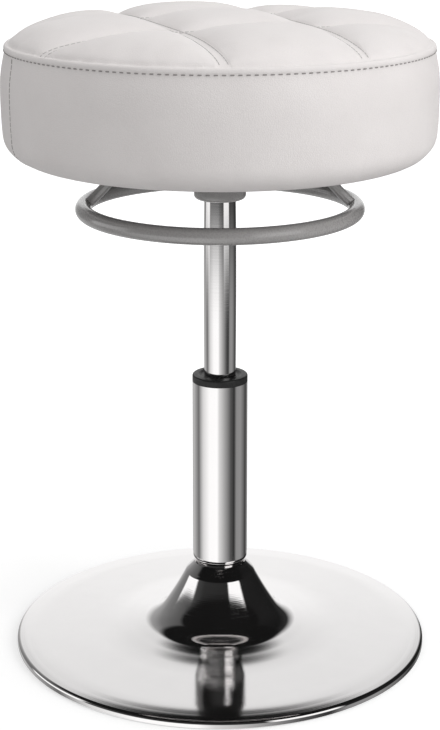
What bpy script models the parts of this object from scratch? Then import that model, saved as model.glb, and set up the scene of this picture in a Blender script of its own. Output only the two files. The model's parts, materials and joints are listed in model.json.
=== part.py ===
"""Vanity stool: a tufted round seat on a gas lift, with a chrome column and a spun trumpet base.

Lengths are metres, +Z is up and the front is -Y. The origin is on the floor at the centre of the base.
The stool is shown with the seat raised. Five moving groups hang from empties on their joint axes:
the ball cage and the piston rod turn about Z, the seat slides on the rod along Z, the ring lever
hinges about X under the seat, and the valve pin slides along Z inside the gas cylinder.
"""

import math

import bmesh
import bpy
from mathutils import Matrix, Vector
from mathutils.geometry import interpolate_bezier

# Fits
GAP = 0.0003  # between pieces that touch
RUN = 0.00025  # round a shaft or tube that slides or turns in a bore
BALL_RUN = 0.0001  # between a ball and its races

# Trumpet base
BASE_RADIUS = 0.190
BASE_WALL = 0.0015
RIM_Z = 0.0064
RIM_ROUND = 0.0030
LIP_Z = 0.0008
RIM_SLOPE_DEG = 8.5  # the disc's outermost strip, which rolls down to the rim
RIM_SLOPE_WIDTH = 0.018
RIM_SLOPE_ROUND = 0.17
DISC_SLOPE_DEG = 2.6
FLARE_SLOPE_DEG = 9.8  # where the disc starts to sweep up to the bell
FLARE_RADIUS = 0.100
FLARE_ROUND = 0.25
BELL_FOOT_RADIUS = 0.0580
BELL_FOOT_ROUND = 0.030
BELL_TOP_Z = 0.0735
BELL_LEDGE = 0.0079
BELL_LEDGE_DROP = 0.0079
BELL_SHOULDER_ROUND = 0.012
FLOOR_RING_WIDTH = 0.006
BASE_SOCKET_WALL = 0.003
BASE_SOCKET_Z = 0.006
BRACE_RADIUS = 0.086
BRACE_THICKNESS = 0.002
BRACE_HOLE_RADIUS = 0.009
BRACE_HOLES = 4

# Column
COLUMN_RADIUS = 0.025
COLUMN_WALL = 0.0015
COLUMN_TOP_Z = 0.2489
SWAGE_RISE = 0.0056  # upper corner of the swaged foot above the bell
SWAGE_ROUND = 0.004
NECK_RISE = 0.0023  # lower corner of the swaged foot above the bell
NECK_ROUND = 0.003
NECK_STEP = 0.0033  # how much the neck is narrower than the column
NECK_TAPER = 0.0015  # how much the neck narrows to its lower end
NECK_END_Z = 0.0085
END_PLATE_THICKNESS = 0.004

# Guide bush
BUSH_FLANGE = 0.0061
BUSH_ROUND = 0.0015
BUSH_LENGTH = 0.060
BUSH_WALL = 0.0018
BUSH_ROOF = 0.003
WIPER_DEPTH = 0.0012
WIPER_WIDTH = 0.0025

# Thrust bearing, bumper and clip
RACE_RADIUS = 0.013
RACE_THICKNESS = 0.0015
BALL_RADIUS = 0.002
BALL_CIRCLE_RADIUS = 0.0092
BALLS = 6
CAGE_THICKNESS = 0.0016
CAGE_RUN = 0.0002
BUMPER_RADIUS = 0.012
BUMPER_HEIGHT = 0.012
CLIP_THICKNESS = 0.0016
CLIP_RADIUS = 0.0078
CLIP_MOUTH = 0.0046
STUD_TAIL = 0.002

# Gas lift
STROKE = 0.140
GAS_TUBE_RADIUS = 0.014
GAS_TUBE_WALL = 0.0015
TAPER_DROP = 0.0008  # how much the tube's top narrows in the seat socket
CRIMP = 0.0020
RETURN_ANNULUS = 0.0019
PRESSURE_WALL = 0.0014
ROD_RADIUS = 0.005
STUD_RADIUS = 0.004
ROD_TENON_RADIUS = 0.0035
ROD_HEAD_HEIGHT = 0.003
ROD_GUIDE_HEIGHT = 0.020
PISTON_HEIGHT = 0.0134
PISTON_GROOVE_HEIGHT = 0.004
PISTON_GROOVE_DEPTH = 0.002
PISTON_FREE_PLAY = 0.004
PIN_RADIUS = 0.002
PIN_LENGTH = 0.042
PIN_TIP_RADIUS = 0.0008
PIN_TIP_HEIGHT = 0.0015
VALVE_CLEARANCE = 0.0016  # valve body to the top of the crimp

# Seat plate and hub
PLATE_THICKNESS = 0.0022
PAN_RADIUS = 0.047
PAN_DRAFT = 0.003
PAN_ROUND = 0.004
PAN_DEPTH = 0.0185
FLANGE_WIDTH = 0.025
HUB_RADIUS = 0.023
HUB_HEIGHT = 0.0187
HUB_ROUND = 0.006
HUB_LIP = 0.0017
SEAT_SOCKET_WALL = 0.0035
TUBE_PROUD = 0.0018  # gas tube above the pan floor
BOLT_CIRCLE_RADIUS = 0.060
BOLTS = 4
BOLT_RADIUS = 0.003
BOLT_HEAD_RADIUS = 0.0058
BOLT_HEAD_HEIGHT = 0.004
BOLT_END_INSET = 0.001
WASHER_RADIUS = 0.0065
WASHER_THICKNESS = 0.0012
TNUT_WALL = 0.0010
TNUT_FLANGE_RADIUS = 0.009
TNUT_FLANGE = 0.0016
TNUT_FOOT = 0.002  # board left under the barrel

# Ring lever
RING_RADIUS = 0.1199
RING_Z = 0.4084
RING_TUBE_RADIUS = 0.0071
ARM_RADIUS = 0.0045
ARM_LEAVE = 0.026
ARM_ARRIVE = 0.026
ARM_RISE_DEG = 35.0
SHAFT_RADIUS = 0.004
SHAFT_HALF = 0.062
SHAFT_AHEAD = 0.016  # shaft in front of the valve pin
SHAFT_RISE = 0.0098  # shaft above the pan floor
SHAFT_BUSH_WALL = 0.0018
SHAFT_BUSH_LENGTH = 0.010
FINGER_WIDTH = 0.010
FINGER_HUB_WALL = 0.0025
NOSE_RADIUS = 0.003

# Seat
SEAT_BOTTOM_Z = 0.4534
SEAT_RADIUS = 0.1870
SEAM_INSET = 0.0039
BAND_HEIGHT = 0.0931
BAND_WIDEST = 0.0572  # height of the widest line above the seat's bottom
BAND_LOWER_INSET = 0.0010  # how far the band draws in from there to the lower round
BAND_ROUND = 0.0277
BAND_STRAIGHT = 0.0196  # height above the bottom where the lower round starts
BAND_TAIL = 0.010
COVER_THICKNESS = 0.002
QUILT_THICKNESS = 0.003
RIM_FOLD = 0.003
BOARD_INSET = 0.029
BOARD_THICKNESS = 0.012
FOAM_SKIRT = 0.0095
DUST_THICKNESS = 0.0005

# Tufted top
CHANNEL_TURN_DEG = 19.2
CHANNELS_ACROSS = (-0.0555, 0.062)  # places of the front-to-back channels
CHANNELS_ALONG = (-0.0595, 0.0595)  # places of the left-to-right channels
CHANNEL_HALF = 0.0035
CHANNEL_RISE = 0.0190  # channel bottom above the seam
PILLOW_RISE = 0.0130  # pillow top above the channel bottom
PILLOW_REACH = 0.056
PILLOW_FULLNESS = 2.5
ROLL_WIDTH = 0.105
ROLL_POWER = 0.58  # 0.5 rolls the rim down as a quarter ellipse, 1 as a parabola

# Facets
SIDES_LARGE = 48
SIDES_MEDIUM = 24
SIDES_SMALL = 16
SIDES_FINE = 8
BAR_STEPS = 12
ROUND_STEPS = 3
FEW_ROUND_STEPS = 2  # inside a pressed sheet, and at a gentle bend
GENTLE_BEND = math.radians(12)
BAND_STEPS = 3
SMOOTH_ANGLE = math.radians(35)

# Heights and radii worked out from the sizes above
SWAGE_Z = BELL_TOP_Z + SWAGE_RISE
NECK_Z = BELL_TOP_Z + NECK_RISE
NECK_RADIUS = COLUMN_RADIUS - NECK_STEP
NECK_END_RADIUS = NECK_RADIUS - NECK_TAPER
LEDGE_SLOPE = math.atan2(BELL_LEDGE_DROP, BELL_LEDGE)
NECK_HOLE_RADIUS = NECK_RADIUS + GAP + BASE_WALL * math.sin(LEDGE_SLOPE)
BELL_SHOULDER_RADIUS = NECK_HOLE_RADIUS + BELL_LEDGE
BELL_SHOULDER_Z = BELL_TOP_Z - BELL_LEDGE_DROP
RIM_SLOPE_RADIUS = BASE_RADIUS - RIM_SLOPE_WIDTH
RIM_SLOPE_Z = RIM_Z + RIM_SLOPE_WIDTH * math.tan(math.radians(RIM_SLOPE_DEG))
FLARE_Z = RIM_SLOPE_Z + (RIM_SLOPE_RADIUS - FLARE_RADIUS) * math.tan(math.radians(DISC_SLOPE_DEG))
BELL_FOOT_Z = FLARE_Z + (FLARE_RADIUS - BELL_FOOT_RADIUS) * math.tan(math.radians(FLARE_SLOPE_DEG))
COLUMN_BORE = COLUMN_RADIUS - COLUMN_WALL
BUSH_Z = COLUMN_TOP_Z + GAP
BUSH_TOP_Z = BUSH_Z + BUSH_FLANGE

END_PLATE_TOP_Z = NECK_END_Z + END_PLATE_THICKNESS
LOWER_RACE_Z = END_PLATE_TOP_Z + GAP
BALL_Z = LOWER_RACE_Z + RACE_THICKNESS + BALL_RUN + BALL_RADIUS
UPPER_RACE_Z = BALL_Z + BALL_RADIUS + BALL_RUN
ROD_SHOULDER_Z = UPPER_RACE_Z + RACE_THICKNESS + GAP
BUMPER_TOP_Z = ROD_SHOULDER_Z + BUMPER_HEIGHT
CLIP_Z = NECK_END_Z - GAP - CLIP_THICKNESS
STUD_BORE = STUD_RADIUS + RUN

TUBE_BOTTOM_Z = BUMPER_TOP_Z + GAP + STROKE
GUIDE_Z = TUBE_BOTTOM_Z + GAS_TUBE_WALL + GAP
GUIDE_TOP_Z = GUIDE_Z + ROD_GUIDE_HEIGHT
PISTON_Z = GUIDE_TOP_Z + PISTON_FREE_PLAY
PISTON_TOP_Z = PISTON_Z + PISTON_HEIGHT
ROD_TOP_Z = PISTON_TOP_Z + GAP + ROD_HEAD_HEIGHT
GAS_TUBE_BORE = GAS_TUBE_RADIUS - GAS_TUBE_WALL
PRESSURE_RADIUS = GAS_TUBE_BORE - RETURN_ANNULUS
PRESSURE_BORE = PRESSURE_RADIUS - PRESSURE_WALL

BOARD_Z = SEAT_BOTTOM_Z + COVER_THICKNESS + GAP
BOARD_TOP_Z = BOARD_Z + BOARD_THICKNESS
FLANGE_TOP_Z = BOARD_Z - GAP
FLANGE_Z = FLANGE_TOP_Z - PLATE_THICKNESS
PAN_FLOOR_Z = FLANGE_Z - PAN_DEPTH
PAN_FLOOR_TOP_Z = PAN_FLOOR_Z + PLATE_THICKNESS
FLANGE_RADIUS = PAN_RADIUS + FLANGE_WIDTH
HUB_TOP_Z = PAN_FLOOR_Z - GAP
HUB_Z = HUB_TOP_Z - HUB_HEIGHT
TUBE_TOP_Z = PAN_FLOOR_TOP_Z + TUBE_PROUD
TUBE_TOP_RADIUS = GAS_TUBE_RADIUS - TAPER_DROP
VALVE_TOP_Z = TUBE_TOP_Z - GAS_TUBE_WALL - GAP
VALVE_Z = ROD_TOP_Z + STROKE + VALVE_CLEARANCE
VALVE_RADIUS = GAS_TUBE_BORE - TAPER_DROP - GAP
SHAFT_Z = PAN_FLOOR_TOP_Z + SHAFT_RISE
PIN_TOP_Z = SHAFT_Z - NOSE_RADIUS - GAP
WASHER_Z = FLANGE_Z - GAP - WASHER_THICKNESS
BOLT_HEAD_Z = WASHER_Z - GAP - BOLT_HEAD_HEIGHT
BOLT_HOLE_RADIUS = BOLT_RADIUS + GAP
TNUT_RADIUS = BOLT_HOLE_RADIUS + TNUT_WALL

SEAM_Z = SEAT_BOTTOM_Z + BAND_HEIGHT
SEAM_RADIUS = SEAT_RADIUS - SEAM_INSET
BOARD_RADIUS = SEAT_RADIUS - BOARD_INSET
CHANNEL_Z = SEAM_Z + CHANNEL_RISE
BAND_INNER_SEAM = SEAM_RADIUS - COVER_THICKNESS
FOAM_TOP_RADIUS = BAND_INNER_SEAM - GAP
QUILT_RADIUS = SEAM_RADIUS - GAP
TURN = math.radians(CHANNEL_TURN_DEG)


def clear_scene():
    for old in list(bpy.data.objects):
        bpy.data.objects.remove(old, do_unlink=True)


def finish(name, colour, roughness, metallic):
    """A plain finish, from the photograph's colours."""
    material = bpy.data.materials.new(name)
    material.use_nodes = True
    shader = material.node_tree.nodes["Principled BSDF"]
    shader.inputs["Base Color"].default_value = (*colour, 1.0)
    shader.inputs["Roughness"].default_value = roughness
    shader.inputs["Metallic"].default_value = metallic
    return material


def empty_on_axis(name, parent, location):
    """An empty on a joint axis, which carries the pieces that move about it."""
    empty = bpy.data.objects.new(name, None)
    bpy.context.scene.collection.objects.link(empty)
    empty.parent = parent
    empty.location = location
    return empty


def add_piece(name, mesh, material, parent, location=(0.0, 0.0, 0.0)):
    """One sub-part, smooth on its round faces."""
    mesh.materials.clear()
    mesh.materials.append(material)
    mesh.shade_smooth()
    mesh.set_sharp_from_angle(angle=SMOOTH_ANGLE)
    piece = bpy.data.objects.new(name, mesh)
    bpy.context.scene.collection.objects.link(piece)
    piece.parent = parent
    piece.location = location
    return piece


def mesh_from(bm, name):
    bmesh.ops.recalc_face_normals(bm, faces=bm.faces)
    mesh = bpy.data.meshes.new(name)
    bm.to_mesh(mesh)
    bm.free()
    return mesh


def evaluated_mesh(obj, name):
    """The object's mesh with its modifiers applied."""
    graph = bpy.context.evaluated_depsgraph_get()
    mesh = bpy.data.meshes.new_from_object(obj.evaluated_get(graph))
    mesh.name = name
    return mesh


def boolean_mesh(mesh, tool_mesh, operation):
    """The mesh cut by, or joined with, a second one."""
    body = bpy.data.objects.new("boolean_body", mesh)
    tool = bpy.data.objects.new("boolean_tool", tool_mesh)
    for helper in (body, tool):
        bpy.context.scene.collection.objects.link(helper)
    cut = body.modifiers.new("cut", "BOOLEAN")
    cut.operation = operation
    cut.solver = "EXACT"
    cut.object = tool
    result = evaluated_mesh(body, mesh.name)
    for helper in (body, tool):
        bpy.data.objects.remove(helper, do_unlink=True)
    return result


def rounded(corners, rounds, steps=ROUND_STEPS):
    """A profile through the corners, each one replaced by an arc of its own radius; 0 keeps it sharp."""
    profile = []
    last = len(corners) - 1
    for index, corner in enumerate(corners):
        radius = rounds[index]
        if index in (0, last) or radius <= 0.0:
            profile.append(tuple(corner))
            continue
        here = Vector(corner)
        arriving = here - Vector(corners[index - 1])
        leaving = Vector(corners[index + 1]) - here
        turn = arriving.angle_signed(leaving)
        room = min(arriving.length, leaving.length) * 0.49
        reach = min(radius * math.tan(abs(turn) / 2.0), room)
        radius = reach / math.tan(abs(turn) / 2.0)
        arriving.normalize()
        start = here - arriving * reach
        side = Vector((arriving.y, -arriving.x)) * math.copysign(1.0, turn)
        centre = start + side * radius
        arc_steps = steps if abs(turn) > GENTLE_BEND else min(steps, FEW_ROUND_STEPS)
        for step in range(arc_steps + 1):
            spoke = start - centre
            spoke.rotate(Matrix.Rotation(-turn * step / arc_steps, 2))
            profile.append(tuple(centre + spoke))
    return profile


def beside(corners, distance):
    """The corners moved to the right of their direction of travel, as a wall's other face."""
    moved = []
    points = [Vector(corner) for corner in corners]
    for index, point in enumerate(points):
        normals = []
        for start, end in zip(points[max(index - 1, 0) : index + 1], points[max(index, 1) : index + 2]):
            along = (end - start).normalized()
            normals.append(Vector((along.y, -along.x)))
        if len(normals) == 1:
            shift = normals[0] * distance
        else:
            middle = (normals[0] + normals[1]).normalized()
            shift = middle * (distance / middle.dot(normals[0]))
        moved.append(tuple(point + shift))
    return moved


def pressed_section(corners, rounds, wall):
    """The section of a pressed sheet: its outer profile, and its inner one a wall further in.

    Inside, only a bend that is hollow from the outside is rounded; the others have room for a corner.
    """
    inner_corners = beside(corners, wall)
    inner_rounds = [0.0] * len(corners)
    for index in range(1, len(corners) - 1):
        arriving = Vector(corners[index]) - Vector(corners[index - 1])
        leaving = Vector(corners[index + 1]) - Vector(corners[index])
        if arriving.angle_signed(leaving) < -GENTLE_BEND:
            inner_rounds[index] = rounds[index] + wall
    return rounded(corners, rounds) + rounded(inner_corners, inner_rounds, FEW_ROUND_STEPS)[::-1]


def turned(name, section, sides):
    """A solid of revolution about Z. A section that starts and ends on the axis is left open there."""
    bm = bmesh.new()
    verts = [bm.verts.new((radius, 0.0, z)) for radius, z in section]
    ends = verts[1:]
    if section[0][0] > 0.0 or section[-1][0] > 0.0:
        ends = ends + verts[:1]
    edges = [bm.edges.new(pair) for pair in zip(verts, ends)]
    bmesh.ops.spin(
        bm, geom=verts + edges, cent=(0, 0, 0), axis=(0, 0, 1),
        angle=2.0 * math.pi, steps=sides, use_merge=True,
    )
    bmesh.ops.remove_doubles(bm, verts=bm.verts, dist=1e-6)
    return mesh_from(bm, name)


def tube_section(bore, radius, low, high):
    return [(bore, high), (radius, high), (radius, low), (bore, low)]


def ring_section(radius, tube_radius, steps):
    """A round bar bent into a ring."""
    angles = [2.0 * math.pi * step / steps for step in range(steps)]
    return [
        (radius + tube_radius * math.cos(angle), tube_radius * math.sin(angle))
        for angle in angles
    ]


def on_circle(count, radius, start_deg=45.0):
    """Evenly spaced places round Z."""
    angles = [math.radians(start_deg) + 2.0 * math.pi * n / count for n in range(count)]
    return [(radius * math.cos(angle), radius * math.sin(angle)) for angle in angles]


def copies(mesh, places, name):
    """One mesh that holds a copy at each place, as a tool for a pattern of cuts."""
    bm = bmesh.new()
    for x, y in places:
        fresh = len(bm.verts)
        bm.from_mesh(mesh)
        bm.verts.ensure_lookup_table()
        bmesh.ops.translate(bm, verts=bm.verts[fresh:], vec=(x, y, 0.0))
    return mesh_from(bm, name)


def laid_along_x(mesh):
    """Turns a piece made about Z so that it lies along X."""
    mesh.transform(Matrix.Rotation(math.pi / 2.0, 4, "Y"))
    return mesh


def cutter(name, radius, low, high, sides=SIDES_SMALL):
    return turned(name, [(0.0, high), (radius, high), (radius, low), (0.0, low)], sides)


def base_corners():
    """Outer corners of the spun base, from the neck hole over the bell and the disc to the rim's lip."""
    corners = [
        (NECK_HOLE_RADIUS, BELL_TOP_Z),
        (BELL_SHOULDER_RADIUS, BELL_SHOULDER_Z),
        (BELL_FOOT_RADIUS, BELL_FOOT_Z),
        (FLARE_RADIUS, FLARE_Z),
        (RIM_SLOPE_RADIUS, RIM_SLOPE_Z),
        (BASE_RADIUS, RIM_Z),
        (BASE_RADIUS, LIP_Z),
    ]
    rounds = [0.0, BELL_SHOULDER_ROUND, BELL_FOOT_ROUND, FLARE_ROUND, RIM_SLOPE_ROUND, RIM_ROUND, 0.0]
    return corners, rounds


def base_underside(radius):
    """Height of the spun base's lower face."""
    inner = beside(base_corners()[0], BASE_WALL)[:-1]
    for (near_radius, near_z), (far_radius, far_z) in zip(inner, inner[1:]):
        if radius <= far_radius:
            break
    share = (radius - near_radius) / (far_radius - near_radius)
    return near_z + share * (far_z - near_z)


def make_base(parent, chrome, steel, rubber):
    corners, rounds = base_corners()
    section = pressed_section(corners, rounds, BASE_WALL)
    add_piece("base_shell", turned("base_shell", section, SIDES_LARGE), chrome, parent)

    outside = BASE_RADIUS - BASE_WALL - GAP
    inside = outside - FLOOR_RING_WIDTH
    ring = [
        (inside, base_underside(inside) - GAP),
        (outside, base_underside(outside) - GAP),
        (outside, 0.0),
        (inside, 0.0),
    ]
    add_piece("floor_ring", turned("floor_ring", ring, SIDES_LARGE), rubber, parent)

    socket_bore = NECK_RADIUS + GAP
    socket_radius = socket_bore + BASE_SOCKET_WALL
    socket = [
        (socket_bore, base_underside(socket_bore) - GAP),
        (socket_radius, base_underside(socket_radius) - GAP),
        (socket_radius, BASE_SOCKET_Z),
        (NECK_END_RADIUS + GAP, BASE_SOCKET_Z),
        (NECK_END_RADIUS + GAP, NECK_END_Z),
    ]
    add_piece("base_socket", turned("base_socket", socket, SIDES_MEDIUM), steel, parent)

    brace_top = base_underside(BRACE_RADIUS) - GAP
    brace_low = brace_top - BRACE_THICKNESS
    disc = turned(
        "base_brace",
        tube_section(socket_radius + GAP, BRACE_RADIUS, brace_low, brace_top),
        SIDES_MEDIUM,
    )
    hole = cutter(
        "brace_hole", BRACE_HOLE_RADIUS, brace_low - BRACE_THICKNESS, brace_top + BRACE_THICKNESS, SIDES_FINE
    )
    middle = (socket_radius + BRACE_RADIUS) / 2.0
    holes = copies(hole, on_circle(BRACE_HOLES, middle), "brace_holes")
    add_piece("base_brace", boolean_mesh(disc, holes, "DIFFERENCE"), steel, parent)


def make_column(parent, chrome, steel, plastic):
    corners = [
        (COLUMN_RADIUS, COLUMN_TOP_Z),
        (COLUMN_RADIUS, SWAGE_Z),
        (NECK_RADIUS, NECK_Z),
        (NECK_END_RADIUS, NECK_END_Z),
    ]
    section = pressed_section(corners, [0.0, SWAGE_ROUND, NECK_ROUND, 0.0], COLUMN_WALL)
    add_piece("column_tube", turned("column_tube", section, SIDES_MEDIUM), chrome, parent)

    plate_radius = NECK_END_RADIUS - COLUMN_WALL - GAP
    plate = tube_section(STUD_BORE, plate_radius, NECK_END_Z, END_PLATE_TOP_Z)
    add_piece("column_end_plate", turned("column_end_plate", plate, SIDES_SMALL), steel, parent)

    bore = GAS_TUBE_RADIUS + RUN
    sleeve = COLUMN_BORE - GAP
    low = BUSH_Z - BUSH_LENGTH
    roof = BUSH_Z - BUSH_ROOF
    bush = rounded(
        [
            (bore + WIPER_WIDTH * 2.0, BUSH_TOP_Z),
            (COLUMN_RADIUS, BUSH_TOP_Z),
            (COLUMN_RADIUS, BUSH_Z),
            (sleeve, BUSH_Z),
            (sleeve, low),
            (sleeve - BUSH_WALL, low),
            (sleeve - BUSH_WALL, roof),
            (bore + BUSH_WALL, roof),
            (bore + BUSH_WALL, low),
            (bore, low),
            (bore, BUSH_TOP_Z - WIPER_DEPTH),
            (bore + WIPER_WIDTH, BUSH_TOP_Z - WIPER_DEPTH),
        ],
        [0.0, BUSH_ROUND] + [0.0] * 10,
    )
    add_piece("guide_bush", turned("guide_bush", bush, SIDES_MEDIUM), plastic, parent)


def make_bearing(base, cage_axis, swivel_axis, steel, plastic):
    race = tube_section(STUD_BORE, RACE_RADIUS, 0.0, RACE_THICKNESS)
    lower = turned("thrust_washer_lower", race, SIDES_SMALL)
    upper = turned("thrust_washer_upper", race, SIDES_SMALL)
    add_piece("thrust_washer_lower", lower, steel, base, (0.0, 0.0, LOWER_RACE_Z))
    add_piece("thrust_washer_upper", upper, steel, swivel_axis, (0.0, 0.0, UPPER_RACE_Z))

    places = on_circle(BALLS, BALL_CIRCLE_RADIUS, 0.0)
    half = CAGE_THICKNESS / 2.0
    disc = turned("bearing_cage", tube_section(STUD_BORE, RACE_RADIUS, -half, half), SIDES_SMALL)
    pocket = cutter("cage_pocket", BALL_RADIUS + CAGE_RUN, -CAGE_THICKNESS, CAGE_THICKNESS, SIDES_FINE)
    cage = boolean_mesh(disc, copies(pocket, places, "cage_pockets"), "DIFFERENCE")
    add_piece("bearing_cage", cage, plastic, cage_axis, (0.0, 0.0, BALL_Z))

    bm = bmesh.new()
    bmesh.ops.create_icosphere(bm, subdivisions=2, radius=BALL_RADIUS)
    ball = mesh_from(bm, "bearing_ball")
    for number, (x, y) in enumerate(places, 1):
        add_piece(f"bearing_ball_{number}", ball, steel, cage_axis, (x, y, BALL_Z))


def make_rod(parent, chrome, steel, rubber):
    tail = CLIP_Z - STUD_TAIL
    groove = STUD_RADIUS - GAP * 3.0
    rod = [
        (0.0, ROD_TOP_Z),
        (ROD_RADIUS, ROD_TOP_Z),
        (ROD_RADIUS, PISTON_TOP_Z + GAP),
        (ROD_TENON_RADIUS, PISTON_TOP_Z + GAP),
        (ROD_TENON_RADIUS, PISTON_Z - GAP),
        (ROD_RADIUS, PISTON_Z - GAP),
        (ROD_RADIUS, ROD_SHOULDER_Z),
        (STUD_RADIUS, ROD_SHOULDER_Z),
        (STUD_RADIUS, NECK_END_Z - GAP / 2.0),
        (groove, NECK_END_Z - GAP / 2.0),
        (groove, CLIP_Z - GAP / 2.0),
        (STUD_RADIUS, CLIP_Z - GAP / 2.0),
        (STUD_RADIUS, tail),
        (0.0, tail),
    ]
    add_piece("piston_rod", turned("piston_rod", rod, SIDES_SMALL), chrome, parent)

    bumper = tube_section(ROD_RADIUS + GAP, BUMPER_RADIUS, ROD_SHOULDER_Z, BUMPER_TOP_Z)
    add_piece("bumper", turned("bumper", bumper, SIDES_SMALL), rubber, parent)

    section = tube_section(groove + GAP, CLIP_RADIUS, CLIP_Z, CLIP_Z + CLIP_THICKNESS)
    disc = turned("retaining_clip", section, SIDES_SMALL)
    bm = bmesh.new()
    bmesh.ops.create_cube(bm, size=1.0)
    bmesh.ops.scale(bm, verts=bm.verts, vec=(CLIP_MOUTH, CLIP_RADIUS * 2.0, CLIP_THICKNESS * 3.0))
    bmesh.ops.translate(bm, verts=bm.verts, vec=(0.0, -CLIP_RADIUS, CLIP_Z))
    clip = boolean_mesh(disc, mesh_from(bm, "clip_mouth"), "DIFFERENCE")
    add_piece("retaining_clip", clip, steel, parent)

    radius = PRESSURE_BORE - RUN
    floor = radius - PISTON_GROOVE_DEPTH
    middle = (PISTON_Z + PISTON_TOP_Z) / 2.0
    low = middle - PISTON_GROOVE_HEIGHT / 2.0
    high = middle + PISTON_GROOVE_HEIGHT / 2.0
    bore = ROD_TENON_RADIUS + GAP
    piston = [
        (bore, PISTON_TOP_Z),
        (radius, PISTON_TOP_Z),
        (radius, high),
        (floor, high),
        (floor, low),
        (radius, low),
        (radius, PISTON_Z),
        (bore, PISTON_Z),
    ]
    add_piece("piston", turned("piston", piston, SIDES_SMALL), steel, parent)
    seal = tube_section(floor + GAP, radius, low + GAP, high - GAP)
    add_piece("piston_seal", turned("piston_seal", seal, SIDES_SMALL), rubber, parent)


def tube_radius_at(z):
    """Outer radius of the gas tube, which narrows inside the seat socket."""
    share = (z - HUB_Z) / (TUBE_TOP_Z - HUB_Z)
    return GAS_TUBE_RADIUS - TAPER_DROP * min(max(share, 0.0), 1.0)


def make_gas_lift(parent, valve_axis, chrome, steel, plastic):
    crimp_low = GAS_TUBE_BORE - CRIMP
    crimp_high = TUBE_TOP_RADIUS - GAS_TUBE_WALL - CRIMP
    tube = [
        (crimp_high, TUBE_TOP_Z),
        (TUBE_TOP_RADIUS, TUBE_TOP_Z),
        (GAS_TUBE_RADIUS, HUB_Z),
        (GAS_TUBE_RADIUS, TUBE_BOTTOM_Z),
        (crimp_low, TUBE_BOTTOM_Z),
        (crimp_low, TUBE_BOTTOM_Z + GAS_TUBE_WALL),
        (GAS_TUBE_BORE, TUBE_BOTTOM_Z + GAS_TUBE_WALL),
        (GAS_TUBE_BORE, HUB_Z),
        (TUBE_TOP_RADIUS - GAS_TUBE_WALL, TUBE_TOP_Z - GAS_TUBE_WALL),
        (crimp_high, TUBE_TOP_Z - GAS_TUBE_WALL),
    ]
    add_piece("gas_cylinder", turned("gas_cylinder", tube, SIDES_MEDIUM), chrome, parent)

    guide = tube_section(ROD_RADIUS + RUN, GAS_TUBE_BORE - GAP, GUIDE_Z, GUIDE_TOP_Z)
    add_piece("rod_guide", turned("rod_guide", guide, SIDES_SMALL), plastic, parent)

    pressure = tube_section(PRESSURE_BORE, PRESSURE_RADIUS, GUIDE_TOP_Z + GAP, VALVE_Z - GAP)
    add_piece("pressure_tube", turned("pressure_tube", pressure, SIDES_SMALL), steel, parent)

    valve = tube_section(PIN_RADIUS + RUN, VALVE_RADIUS, VALVE_Z, VALVE_TOP_Z)
    add_piece("valve_body", turned("valve_body", valve, SIDES_SMALL), steel, parent)

    pin = [
        (0.0, PIN_TOP_Z - SHAFT_Z),
        (PIN_TIP_RADIUS, PIN_TOP_Z - SHAFT_Z),
        (PIN_RADIUS, PIN_TOP_Z - PIN_TIP_HEIGHT - SHAFT_Z),
        (PIN_RADIUS, PIN_TOP_Z - PIN_LENGTH - SHAFT_Z),
        (0.0, PIN_TOP_Z - PIN_LENGTH - SHAFT_Z),
    ]
    add_piece("valve_pin", turned("valve_pin", pin, SIDES_SMALL), steel, valve_axis)


def make_hub(parent, steel, paint):
    socket_low = HUB_Z + HUB_LIP + GAP
    socket_radius = GAS_TUBE_RADIUS + GAP + SEAT_SOCKET_WALL
    socket = [
        (tube_radius_at(HUB_TOP_Z) + GAP, HUB_TOP_Z),
        (socket_radius, HUB_TOP_Z),
        (socket_radius, socket_low),
        (tube_radius_at(socket_low) + GAP, socket_low),
    ]
    add_piece("seat_socket", turned("seat_socket", socket, SIDES_MEDIUM), steel, parent)

    cap = rounded(
        [
            (socket_radius + GAP, HUB_TOP_Z),
            (HUB_RADIUS, HUB_TOP_Z),
            (HUB_RADIUS, HUB_Z),
            (GAS_TUBE_RADIUS + GAP, HUB_Z),
            (GAS_TUBE_RADIUS + GAP, HUB_Z + HUB_LIP),
            (socket_radius + GAP, HUB_Z + HUB_LIP),
        ],
        [0.0, 0.0, HUB_ROUND, 0.0, 0.0, 0.0],
    )
    add_piece("hub_cap", turned("hub_cap", cap, SIDES_MEDIUM), paint, parent)


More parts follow.
